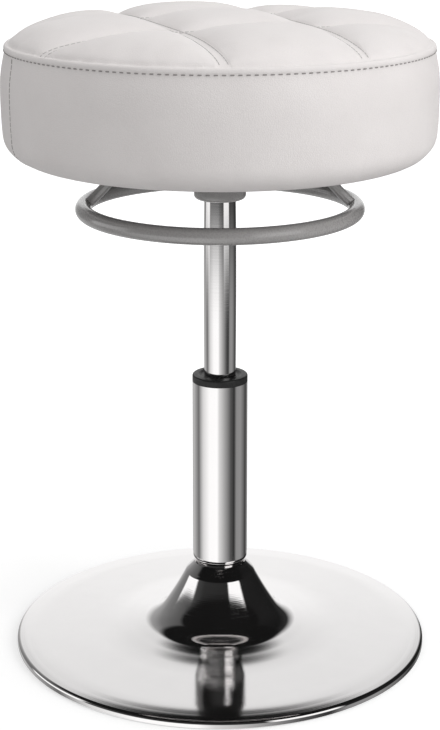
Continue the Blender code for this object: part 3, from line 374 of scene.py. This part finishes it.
def moulded(name, dark, light, rough, scale):
    """Moulded plastic or rubber with a fine mould texture."""
    material, tree, shader = new_finish(name)
    place = tree.place()
    mould = tree.noise(place, scale, 3.0)
    tree.feed(shader["Base Color"], tree.mix(tree.noise(place, 60.0, 2.0), dark, light))
    tree.feed(shader["Roughness"], tree.span(mould, 0.3, 0.7, rough - 0.06, rough + 0.06))
    tree.feed(shader["Normal"], tree.bump(mould, 0.15, 0.0002))
    return material


def plywood():
    """Birch plywood with its plies across Z."""
    material, tree, shader = new_finish("plywood")
    place = tree.place()
    stretch = tree.node("VectorMath", {0: place, 1: (6.0, 90.0, 480.0)}, operation="MULTIPLY").outputs[0]
    grain = tree.noise(stretch, 1.0, 5.0, 0.6)
    browns = [(0.25, (0.42, 0.28, 0.16)), (0.5, (0.60, 0.44, 0.28)), (0.75, (0.68, 0.53, 0.35))]
    tree.feed(shader["Base Color"], tree.ramp(grain, browns))
    tree.feed(shader["Roughness"], tree.span(grain, 0.3, 0.7, 0.55, 0.75))
    tree.feed(shader["Normal"], tree.bump(grain, 0.2, 0.0003))
    return material


def nonwoven():
    """Thin black cloth of bonded fibres."""
    material, tree, shader = new_finish("black_nonwoven", Sheen_Weight=0.3)
    place = tree.place()
    dots = tree.node("TexVoronoi", {"Vector": place, "Scale": 500.0}).outputs["Distance"]
    fibre = tree.noise(place, 1400.0, 4.0, 0.7)
    tree.feed(shader["Base Color"], tree.mix(fibre, 0.016, 0.05))
    tree.feed(shader["Roughness"], tree.span(fibre, 0.2, 0.8, 0.8, 1.0))
    tree.feed(shader["Normal"], tree.bump(tree.math("ADD", dots, fibre), 0.4, 0.0003))
    return material


def thread(name, dark, light):
    """Twisted sewing thread."""
    material, tree, shader = new_finish(name, Sheen_Weight=0.2)
    twist = tree.noise(tree.place(), 2400.0, 2.0)
    tree.feed(shader["Base Color"], tree.mix(twist, dark, light))
    tree.feed(shader["Roughness"], tree.span(twist, 0.3, 0.7, 0.5, 0.7))
    tree.feed(shader["Normal"], tree.bump(twist, 0.3, 0.0002))
    return material


# Turned pieces


def profile_of(node):
    """The section of a turned CAD node: the loop of (radius, z) points in its first meridian, in order."""
    mesh = NODES[node].data
    places = [vert.co for vert in mesh.vertices]
    names = [tuple(round(value, DIGITS) for value in place) for place in places]
    points = {name: Vector((math.hypot(place.x, place.y), place.z)) for name, place in zip(names, places)}
    beside = {}
    for edge in mesh.edges:
        first, second = (names[index] for index in edge.vertices)
        on_it = all(abs(name[1]) < ON_MERIDIAN and name[0] > 0.0 for name in (first, second))
        if on_it and first != second:
            beside.setdefault(first, set()).add(second)
            beside.setdefault(second, set()).add(first)
    return walk(beside, points)


def walk(beside, points):
    """Follows the meridian's edges round, past the diagonals of flat faces, as one closed loop."""
    start = max(beside, key=lambda name: (name[2], name[0]))
    loop = [start]
    while True:
        options = [name for name in beside[loop[-1]] if name not in loop]
        if not options:
            return [points[name] for name in loop]
        loop.append(min(options, key=lambda name: (Vector(name) - Vector(loop[-1])).length))


def loop_tangents(loop):
    """Directions before and after each point of a loop made of lines and faceted rounds."""
    sides = [(loop[(index + 1) % len(loop)] - point).normalized() for index, point in enumerate(loop)]
    turns = [sides[index - 1].angle_signed(side, 0.0) for index, side in enumerate(sides)]
    tangents = []
    for index, after in enumerate(sides):
        before, here = sides[index - 1], turns[index]
        if abs(here) > SHARP:
            tangents.append((before, after))
            continue
        # Where a line runs into a round, the corner turns half as far as the corners on the round
        rounder = {}
        for line, beyond in ((before, turns[(index + 1) % len(loop)]), (after, turns[index - 1])):
            if abs(beyond) <= SHARP and beyond * here > 0.0:
                rounder[abs(beyond)] = line
        steepest = max(rounder, default=0.0)
        along = rounder[steepest] if steepest > abs(here) * ROUNDER else (before + after).normalized()
        tangents.append((along, along))
    return tangents


def smooth_loop(loop, step):
    """The same loop with its rounds drawn as true curves; straight runs and sharp corners stay."""
    tangents = loop_tangents(loop)
    smooth = []
    for index, start in enumerate(loop):
        ahead = (index + 1) % len(loop)
        end = loop[ahead]
        length = (end - start).length
        leave = tangents[index][1] * length
        arrive = tangents[ahead][0] * length
        parts = max(1, min(MOST_PARTS, round(length / step)))
        shares = [part / parts for part in range(parts)]
        if leave.angle(arrive, 0.0) < STRAIGHT:
            shares = [0.0, step / length, 1.0 - step / length] if parts > FEW_PARTS else [0.0]
        for t in shares:
            place = start * (2 * t**3 - 3 * t**2 + 1) + leave * (t**3 - 2 * t**2 + t)
            smooth.append(place + end * (3 * t**2 - 2 * t**3) + arrive * (t**3 - t**2))
    return smooth


def spin(loop, sides):
    """Vertices and faces of a closed loop turned about Z."""
    count = len(loop)
    verts = []
    for side in range(sides):
        angle = 2.0 * math.pi * side / sides
        verts.extend((p.x * math.cos(angle), p.x * math.sin(angle), p.y) for p in loop)
    faces = []
    for side in range(sides):
        here, ahead = side * count, (side + 1) % sides * count
        for index in range(count):
            after = (index + 1) % count
            faces.append((here + index, here + after, ahead + after, ahead + index))
    return verts, faces


def add_mesh(name, verts, faces, material):
    mesh = bpy.data.meshes.new(name)
    mesh.from_pydata(verts, [], faces)
    mesh.validate()
    bm = bmesh.new()
    bm.from_mesh(mesh)
    bmesh.ops.recalc_face_normals(bm, faces=bm.faces)
    bm.to_mesh(mesh)
    bm.free()
    mesh.shade_smooth()
    mesh.set_sharp_from_angle(angle=CREASE)
    mesh.materials.append(material)
    piece = bpy.data.objects.new(name, mesh)
    bpy.context.scene.collection.objects.link(piece)
    return piece


def hollowed(loop, depth):
    """The loop with its long steep runs slightly hollow, as spun metal is."""
    bowed = []
    for index, start in enumerate(loop):
        run = loop[(index + 1) % len(loop)] - start
        bowed.append(start)
        slope = math.degrees(math.atan2(abs(run.y), abs(run.x)))
        if run.length < HOLLOW_RUN or not HOLLOW_SLOPES[0] < slope < HOLLOW_SLOPES[1]:
            continue
        inward = Vector((-abs(run.y), -abs(run.x))).normalized()
        for share in np.linspace(0.0, 1.0, HOLLOW_POINTS)[1:-1]:
            bowed.append(start + run * share + inward * (4.0 * depth * share * (1.0 - share)))
    return bowed


def turned_piece(name, node, material, step, sides=TURNED_SIDES, hollow=0.0):
    """A finer turning that stands for a CAD node of the same section."""
    section = hollowed(profile_of(node), hollow)
    piece = add_mesh(name, *spin(smooth_loop(section, step), sides), material)
    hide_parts(node)
    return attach(piece, NODES[node]["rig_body"])


# Cushion


def swell(distance):
    share = min(max(distance - CHANNEL_HALF, 0.0) / PILLOW_REACH, 1.0)
    return (1.0 - (1.0 - share) ** PILLOW_FULLNESS) ** PILLOW_WALL


def on_grid(x, y):
    """Distances of a point across and along the turned quilting."""
    return x * math.cos(TURN) + y * math.sin(TURN), y * math.cos(TURN) - x * math.sin(TURN)


def channel_distance(x, y):
    across, along = on_grid(x, y)
    return min(abs(across - place) for place in ACROSS), min(abs(along - place) for place in ALONG)


def quilt_height(x, y, full):
    """Height of the tufted top, with the pillows full or slack."""
    to_across, to_along = channel_distance(x, y)
    pillow = full * PILLOW_RISE * swell(to_across) * swell(to_along)
    share = min(max(math.hypot(x, y) - (QUILT_EDGE - ROLL_WIDTH), 0.0) / ROLL_WIDTH, 1.0)
    crease = FOLD_Z - RIM_CREASE
    roll = (1.0 - share**2) ** ROLL_POWER
    return crease + (SEAM_Z + CHANNEL_RISE - crease) * roll + pillow * roll**PILLOW_HOLD


def rim_angles():
    """Directions round the seat, closer together at the band's own seam."""
    close = [BAND_SEAM + offset / SEAM_RADIUS for offset in SEAM_OFFSETS]
    even = [2.0 * math.pi * n / RIM_SIDES - math.pi for n in range(RIM_SIDES)]
    clear = SEAM_CLEAR / SEAM_RADIUS
    return sorted(close + [angle for angle in even if abs(angle - BAND_SEAM) > clear])


def outer_run(loop):
    """The outside of a section, from its top outer corner down to its lowest inner one."""
    top = max(range(len(loop)), key=lambda index: (round(loop[index].y, 5), loop[index].x))
    loop = loop[top:] + loop[:top]
    low = min(range(len(loop)), key=lambda index: (round(loop[index].y, 5), loop[index].x))
    runs = (loop[: low + 1], loop[:1] + loop[: low - 1 : -1])
    return max(runs, key=lambda run: sum(p.x for p in run) / len(run))


def band_rows():
    """Rows of the cover below the quilt: folded edge, stitched hem, side and the tail under it."""
    rows = [(SEAM_RADIUS + out, FOLD_Z + up) for out, up in FOLD_SECTION]
    rows += [(SEAM_RADIUS + out, STITCH_Z + up) for out, up in STITCHED_SECTION]
    run = outer_run(smooth_loop(profile_of("side_band"), BAND_STEP))
    rows += [(p.x, p.y) for p in run if p.y < STITCH_Z - SIDE_DROP]
    rows.append((run[-1].x, run[-1].y + TAIL_HEM))
    return rows


def seam_dip(angle):
    """Depth of the band's upright seam at a direction; the turned-in edges stand a little proud of it."""
    off = (angle - BAND_SEAM) * SEAM_RADIUS
    groove = GROOVE_DEPTH * math.exp(-((off / GROOVE_WIDTH) ** 2))
    return groove - HEM_RISE * math.exp(-(((abs(off) - HEM_PLACE) / HEM_WIDTH) ** 2))


def quilt_lines(places):
    """Where the quilt is divided: close at the channels, and evenly between them."""
    lines = sorted(place + side * step for place in places for side in (-1.0, 1.0) for step in CLOSE_LINES)
    filled = []
    ends = [-SEAM_RADIUS] + lines + [SEAM_RADIUS]
    for low, high in zip(ends, ends[1:]):
        parts = max(1, round((high - low) / GRID))
        filled.extend(low + (high - low) * part / parts for part in range(parts))
    return filled[1:]


def cover_mesh(name):
    """The cover as one sheet: the quilted top, the folded edge, the side and the tail under the board."""
    angles = rim_angles()
    bm = bmesh.new()
    inner = SEAM_RADIUS - RIM_WIDTH
    ring = [bm.verts.new((inner * math.cos(a), inner * math.sin(a), 0.0)) for a in angles]
    bm.faces.new(ring)
    for step in range(1, RIM_STEPS + 1):
        radius = inner + (QUILT_EDGE - inner) * math.sin(math.pi / 2.0 * step / RIM_STEPS)
        ring = add_ring(bm, ring, [(radius * math.cos(a), radius * math.sin(a), 0.0) for a in angles])
    cut_along_channels(bm, inner)
    bmesh.ops.triangulate(bm, faces=[face for face in bm.faces if len(face.verts) > 4])
    for vert in bm.verts:
        vert.co.z = quilt_height(vert.co.x, vert.co.y, START_FULL)
    ring = sorted((v for v in bm.verts if v.is_boundary), key=lambda v: math.atan2(v.co.y, v.co.x))
    turns = [math.atan2(v.co.y, v.co.x) for v in ring]
    for radius, z in band_rows():
        reach = [radius - (seam_dip(a) if z < STITCH_Z - SEWN_BELOW else 0.0) for a in turns]
        ring = add_ring(bm, ring, [(r * math.cos(a), r * math.sin(a), z) for r, a in zip(reach, turns)])
    bmesh.ops.recalc_face_normals(bm, faces=bm.faces)
    mesh = bpy.data.meshes.new(name)
    bm.to_mesh(mesh)
    bm.free()
    mesh.shade_smooth()
    return mesh


def add_ring(bm, ring, places):
    fresh = [bm.verts.new(place) for place in places]
    for index in range(len(ring)):
        ahead = (index + 1) % len(ring)
        bm.faces.new((ring[index], ring[ahead], fresh[ahead], fresh[index]))
    return fresh


def cut_along_channels(bm, inner):
    """Divides the quilt along its grid; only the lines at the channels run on to the rim."""
    directions = (
        (Vector((math.cos(TURN), math.sin(TURN), 0.0)), ACROSS),
        (Vector((-math.sin(TURN), math.cos(TURN), 0.0)), ALONG),
    )
    for normal, places in directions:
        for line in quilt_lines(places):
            to_rim = min(abs(line - place) for place in places) < CLOSE_REACH
            faces = [f for f in bm.faces if to_rim or f.calc_center_median().length < inner * INSIDE_SHARE]
            edges = {edge for face in faces for edge in face.edges}
            verts = {vert for face in faces for vert in face.verts}
            bmesh.ops.bisect_plane(
                bm, geom=[*verts, *edges, *faces], dist=CUT_SNAP, plane_co=normal * line, plane_no=normal
            )
    bmesh.ops.remove_doubles(bm, verts=bm.verts, dist=MERGE)


def coordinates(mesh):
    flat = np.empty(len(mesh.vertices) * 3)
    mesh.vertices.foreach_get("co", flat)
    return flat.reshape(-1, 3)


def held(place):
    """Whether sewing, or the board under the seat, holds the cover at a point."""
    x, y, z = place
    if z < SEAT_BOTTOM_Z + TAIL_HELD or STITCH_Z - SEWN_BELOW < z < FOLD_Z + HAIR:
        return True
    if z < SEAM_Z:
        return abs(math.atan2(y, x) - BAND_SEAM) * SEAM_RADIUS < SEAM_HELD
    return min(channel_distance(x, y)) < CHANNEL_HALF + HAIR


def evened(move, mesh, still):
    """Evens the cloth's moves out, so that it keeps its fullness and loses small creases."""
    pairs = np.empty(len(mesh.edges) * 2, dtype=np.int32)
    mesh.edges.foreach_get("vertices", pairs)
    first, second = pairs.reshape(-1, 2).T
    count = np.bincount(pairs, minlength=len(move))[:, None]
    for _ in range(EVEN_STEPS):
        near = np.zeros_like(move)
        np.add.at(near, first, move[second])
        np.add.at(near, second, move[first])
        move = np.where(still[:, None], move, 0.5 * move + 0.5 * near / count)
    return move


def inflate(piece):
    """Blows the cover up as cloth, held at its sewing, and keeps the capped result in the mesh."""
    mesh = piece.data
    start = coordinates(mesh)
    group = piece.vertex_groups.new(name="held")
    group.add([index for index, place in enumerate(start) if held(place)], 1.0, "REPLACE")
    cloth = piece.modifiers.new("cloth", "CLOTH")
    sheet = cloth.settings
    sheet.quality = 6
    sheet.tension_stiffness = 12.0
    sheet.compression_stiffness = 6.0
    sheet.shear_stiffness = 4.0
    sheet.bending_stiffness = 0.6
    sheet.vertex_group_mass = group.name
    sheet.use_pressure = True
    sheet.uniform_pressure_force = SIM_PRESSURE
    sheet.shrink_min = SIM_SHRINK
    sheet.effector_weights.gravity = 0.0
    cloth.collision_settings.use_collision = False
    cloth.point_cache.frame_end = SIM_FRAMES
    scene = bpy.context.scene
    for number in range(1, SIM_FRAMES + 1):
        scene.frame_set(number)
    blown = piece.evaluated_get(bpy.context.evaluated_depsgraph_get()).to_mesh()
    move = coordinates(blown) - start
    piece.modifiers.remove(cloth)
    piece.vertex_groups.clear()
    scene.frame_set(1)
    far = np.linalg.norm(move, axis=1)
    cap = np.where(start[:, 2] > SEAM_Z, SIM_CAP, SIDE_CAP)
    move *= (np.minimum(far, cap) / np.maximum(far, 1e-9))[:, None]
    move = evened(move, mesh, np.array([held(place) for place in start]))
    mesh.vertices.foreach_set("co", (start + move).ravel())
    mesh.update()


def capsule():
    """One stitch of unit length along X, as rows of a rounded bar."""
    half = 0.5
    rows = [(-half, 0.3), (-half * 0.86, 0.9), (half * 0.86, 0.9), (half, 0.3)]
    verts = []
    for along, size in rows:
        for side in range(STITCH_SIDES):
            angle = 2.0 * math.pi / STITCH_SIDES * side
            verts.append((along, size * math.cos(angle), size * math.sin(angle)))
    count = len(verts)
    faces = [tuple(range(STITCH_SIDES - 1, -1, -1)), tuple(range(count - STITCH_SIDES, count))]
    for first in range(0, count - STITCH_SIDES, STITCH_SIDES):
        for side in range(STITCH_SIDES):
            after = (side + 1) % STITCH_SIDES
            ahead = first + STITCH_SIDES
            faces.append((first + side, first + after, ahead + after, ahead + side))
    return verts, faces


def stitches(name, places, length, radius, material):
    """Stitches of thread, each one partly sunk in the surface at its place."""
    shape, shape_faces = capsule()
    verts, faces = [], []
    for point, along, normal in places:
        side = normal.cross(along).normalized()
        first = len(verts)
        centre = point + normal * radius * THREAD_OUT
        for x, y, z in shape:
            verts.append(centre + along * x * length + (side * y + normal * z) * radius)
        faces.extend(tuple(first + index for index in face) for face in shape_faces)
    piece = add_mesh(name, verts, faces, material)
    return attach(piece, "seat")


def rim_stitches(surface):
    """Places of the topstitching round the side, just below the folded edge."""
    count = round(2.0 * math.pi * SEAM_RADIUS / STITCH_PITCH)
    places = []
    for number in range(count):
        angle = 2.0 * math.pi * number / count
        outward = Vector((math.cos(angle), math.sin(angle), 0.0))
        point, _, _, _ = surface.ray_cast(outward * OUTSIDE + Vector((0.0, 0.0, STITCH_Z)), -outward)
        along = Vector((-outward.y, outward.x, 0.0))
        places.append((point, along, outward))
    return places


def seam_stitches(surface):
    """Places of the stitching down the band's upright seam."""
    outward = Vector((math.cos(BAND_SEAM), math.sin(BAND_SEAM), 0.0))
    places = []
    for z in np.arange(STITCH_Z - SEAM_TOP_DROP, SEAT_BOTTOM_Z + SEAM_END_RISE, -SEAM_PITCH):
        point, normal, _, _ = surface.ray_cast(outward * OUTSIDE + Vector((0.0, 0.0, z)), -outward)
        tilt = normal.dot(outward)
        along = Vector((outward.x * normal.z, outward.y * normal.z, -tilt)).normalized()
        places.append((point, along, normal))
    return places


def spaced(surface, middle, along, reach):
    """Places at an even pitch along a straight line drawn on the quilt from above."""
    places = []
    before, travelled = None, 0.0
    above = Vector((0.0, 0.0, 1.0))
    for step in np.arange(-reach, reach, TRACE_STEP):
        point, up, _, _ = surface.ray_cast(middle + along * step + above, -above)
        if before is not None:
            travelled += (point - before).length
        if before is not None and travelled > CHANNEL_PITCH:
            travelled -= CHANNEL_PITCH
            places.append((point, (point - before).normalized(), up))
        before = point
    return places


def channel_stitches(surface):
    """Places of the stitching along both edges of every channel."""
    places = []
    for turn, offsets in ((TURN, ACROSS), (TURN + math.pi / 2.0, ALONG)):
        normal = Vector((math.cos(turn), math.sin(turn), 0.0))
        along = Vector((-math.sin(turn), math.cos(turn), 0.0))
        for offset in offsets:
            for side in (-1.0, 1.0):
                line = offset + side * CHANNEL_HALF * CHANNEL_LINE
                reach = math.sqrt(QUILT_EDGE**2 - line**2)
                places.extend(spaced(surface, normal * line, along, reach))
    return places


def make_cushion(vinyl, grey_thread, pale_thread):
    """The cover, which stands for the cushion's soft solids, and its three lots of stitching."""
    mesh = cover_mesh("cushion_cover")
    mesh.materials.append(vinyl)
    cover = bpy.data.objects.new("cushion_cover", mesh)
    bpy.context.scene.collection.objects.link(cover)
    inflate(cover)
    smooth = cover.modifiers.new("smooth", "SUBSURF")
    smooth.levels = 1
    smooth.render_levels = 1
    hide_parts("cover_top", "side_band", "seat_foam")
    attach(cover, "seat")
    surface = BVHTree.FromObject(cover, bpy.context.evaluated_depsgraph_get())
    stitches("rim_stitching", rim_stitches(surface), STITCH_LENGTH, RIM_THREAD, grey_thread)
    stitches("seam_stitching", seam_stitches(surface), SEAM_PITCH * SEAM_SHARE, RIM_THREAD, grey_thread)
    in_channels = channel_stitches(surface)
    stitches("channel_stitching", in_channels, CHANNEL_PITCH * CHANNEL_SHARE, CHANNEL_THREAD, pale_thread)


# Stage, light and camera


def add_floor():
    """A pale floor that takes the stool's shadow and reads as white to the camera."""
    material, tree, shader = new_finish("pale_floor", Roughness=0.9)
    shade = tree.mix(tree.noise(tree.place(), 3.0, 2.0), *FLOOR_SHADES)
    ray = tree.node("LightPath").outputs
    tree.feed(shader["Base Color"], shade)
    shader["Emission Color"].default_value = (1.0, 1.0, 1.0, 1.0)
    away = tree.node("VectorMath", {0: tree.place()}, operation="LENGTH").outputs["Value"]
    glow = tree.span(away, *GLOW_REACH, FLOOR_GLOW_NEAR, FLOOR_GLOW_FAR, smooth=True)
    tree.feed(shader["Emission Strength"], tree.math("MULTIPLY", ray["Is Camera Ray"], glow))
    mesh = bpy.data.meshes.new("floor")
    corners = [(x * FLOOR_HALF, y * FLOOR_HALF, 0.0) for x, y in ((-1, -1), (1, -1), (1, 1), (-1, 1))]
    mesh.from_pydata(corners, [], [(0, 1, 2, 3)])
    mesh.materials.append(material)
    floor = bpy.data.objects.new("floor", mesh)
    floor.location.z = -FLOOR_DROP
    floor.visible_glossy = False
    bpy.context.scene.collection.objects.link(floor)


def by_azimuth(stops):
    """Ramp stops from (degrees to the right of the camera, level)."""
    return [(degrees / 360.0 + 0.5, level) for degrees, level in stops]


def light_world():
    """White to the camera, the studio to polished metal, and even soft light to everything else."""
    world = bpy.data.worlds.new("studio")
    bpy.context.scene.world = world
    world.use_nodes = True
    tree = Tree(world.node_tree)
    background = world.node_tree.nodes["Background"]
    direction = tree.node("TexCoord").outputs["Generated"]
    x, y, z = tree.node("SeparateXYZ", {0: direction}).outputs
    azimuth = tree.math("ARCTAN2", x, tree.math("MULTIPLY", y, -1.0))
    turn = tree.math("ADD", tree.math("DIVIDE", azimuth, 2.0 * math.pi), 0.5)
    low = tree.ramp(turn, by_azimuth(LOW_STUDIO))
    high = tree.ramp(turn, by_azimuth(HIGH_STUDIO))
    high = tree.mix(tree.span(z, *SWEEP_FADE, 0.0, SWEEP_LOSS), high, 0.0)
    leaning = tree.math("ADD", z, tree.math("MULTIPLY", y, LEFT_WINDOW_LEAN))
    on_left = tree.span(leaning, *LEFT_WINDOW_TOP, 1.0, 0.0)
    reach = tree.math("MAXIMUM", on_left, tree.span(x, *RIGHT_SIDE, 0.0, 1.0))
    windows = tree.math("MULTIPLY", tree.ramp(turn, by_azimuth(WINDOWS)), reach)
    high = tree.mix(windows, high, WINDOW_LEVEL)
    studio = tree.mix(tree.span(z, *HORIZON, 0.0, 1.0, smooth=True), low, high)
    leaning = tree.math("ADD", z, tree.math("MULTIPLY", y, FRONT_CEILING_LEAN))
    front = tree.span(leaning, *FRONT_CEILING_EDGE, 0.0, 1.0)
    front = tree.math("MULTIPLY", front, tree.span(y, *FRONT_SIDE, 1.0, 0.0))
    ceiling = tree.math("MAXIMUM", front, tree.span(z, *CEILING_EDGE, 0.0, 1.0, smooth=True))
    studio = tree.mix(ceiling, studio, CEILING_LEVEL)
    ray = tree.node("LightPath").outputs
    mirror = tree.math("MAXIMUM", ray["Is Glossy Ray"], ray["Is Transmission Ray"])
    colour = tree.mix(mirror, AMBIENT, studio)
    tree.feed(background.inputs["Color"], tree.mix(ray["Is Camera Ray"], colour, 1.0))


def add_lamp(name, place, aim, size, watts):
    """A square softbox that lights the stool and isn't itself seen in polished metal."""
    data = bpy.data.lights.new(name, "AREA")
    data.size = size
    data.energy = watts
    lamp = bpy.data.objects.new(name, data)
    lamp.location = place
    lamp.rotation_euler = (Vector(aim) - Vector(place)).to_track_quat("-Z", "Y").to_euler()
    lamp.visible_glossy = False
    lamp.visible_camera = False
    bpy.context.scene.collection.objects.link(lamp)


def add_camera():
    """The photograph's camera."""
    data = bpy.data.cameras.new("camera")
    data.sensor_width = SENSOR
    data.lens = FOCAL_PX / max(FRAME_PX) * SENSOR
    camera = bpy.data.objects.new("camera", data)
    camera.location = CAMERA_PLACE
    camera.rotation_euler = (math.pi / 2.0 - CAMERA_PITCH, 0.0, 0.0)
    bpy.context.scene.collection.objects.link(camera)
    bpy.context.scene.camera = camera


def main():
    bpy.context.scene.view_settings.view_transform = "Standard"
    add_camera()
    finishes = {
        "chrome": chrome("chrome", False),
        "zinc_steel": zinc_steel(),
        "grey_paint": grey_paint(),
        "black_plastic": moulded("black_plastic", 0.012, 0.022, 0.42, 900.0),
        "natural_nylon": moulded("natural_nylon", (0.70, 0.68, 0.62), (0.78, 0.76, 0.70), 0.5, 700.0),
        "black_rubber": moulded("black_rubber", 0.018, 0.03, 0.8, 1200.0),
        "plywood": plywood(),
        "seat_foam": moulded("seat_foam", (0.80, 0.75, 0.55), (0.86, 0.82, 0.64), 0.92, 500.0),
        "white_vinyl": white_vinyl(),
        "black_nonwoven": nonwoven(),
    }
    for row in frame["record"]["subparts"]:
        mesh = NODES[row["node"]].data
        mesh.materials.clear()
        mesh.materials.append(finishes[row["material_slot"]])
    spun = chrome("spun_chrome", True)
    turned_piece("chrome_base", "base_shell", spun, BASE_STEP, BASE_SIDES, BELL_HOLLOW)
    for piece, node, finish, step in TURNINGS:
        turned_piece(piece, node, finishes[finish], step)
    grey_thread = thread("grey_thread", (0.20, 0.19, 0.185), (0.34, 0.32, 0.31))
    pale_thread = thread("pale_thread", (0.46, 0.445, 0.44), (0.60, 0.58, 0.57))
    make_cushion(finishes["white_vinyl"], grey_thread, pale_thread)
    add_floor()
    light_world()
    for lamp in LAMPS:
        add_lamp(*lamp)


main()
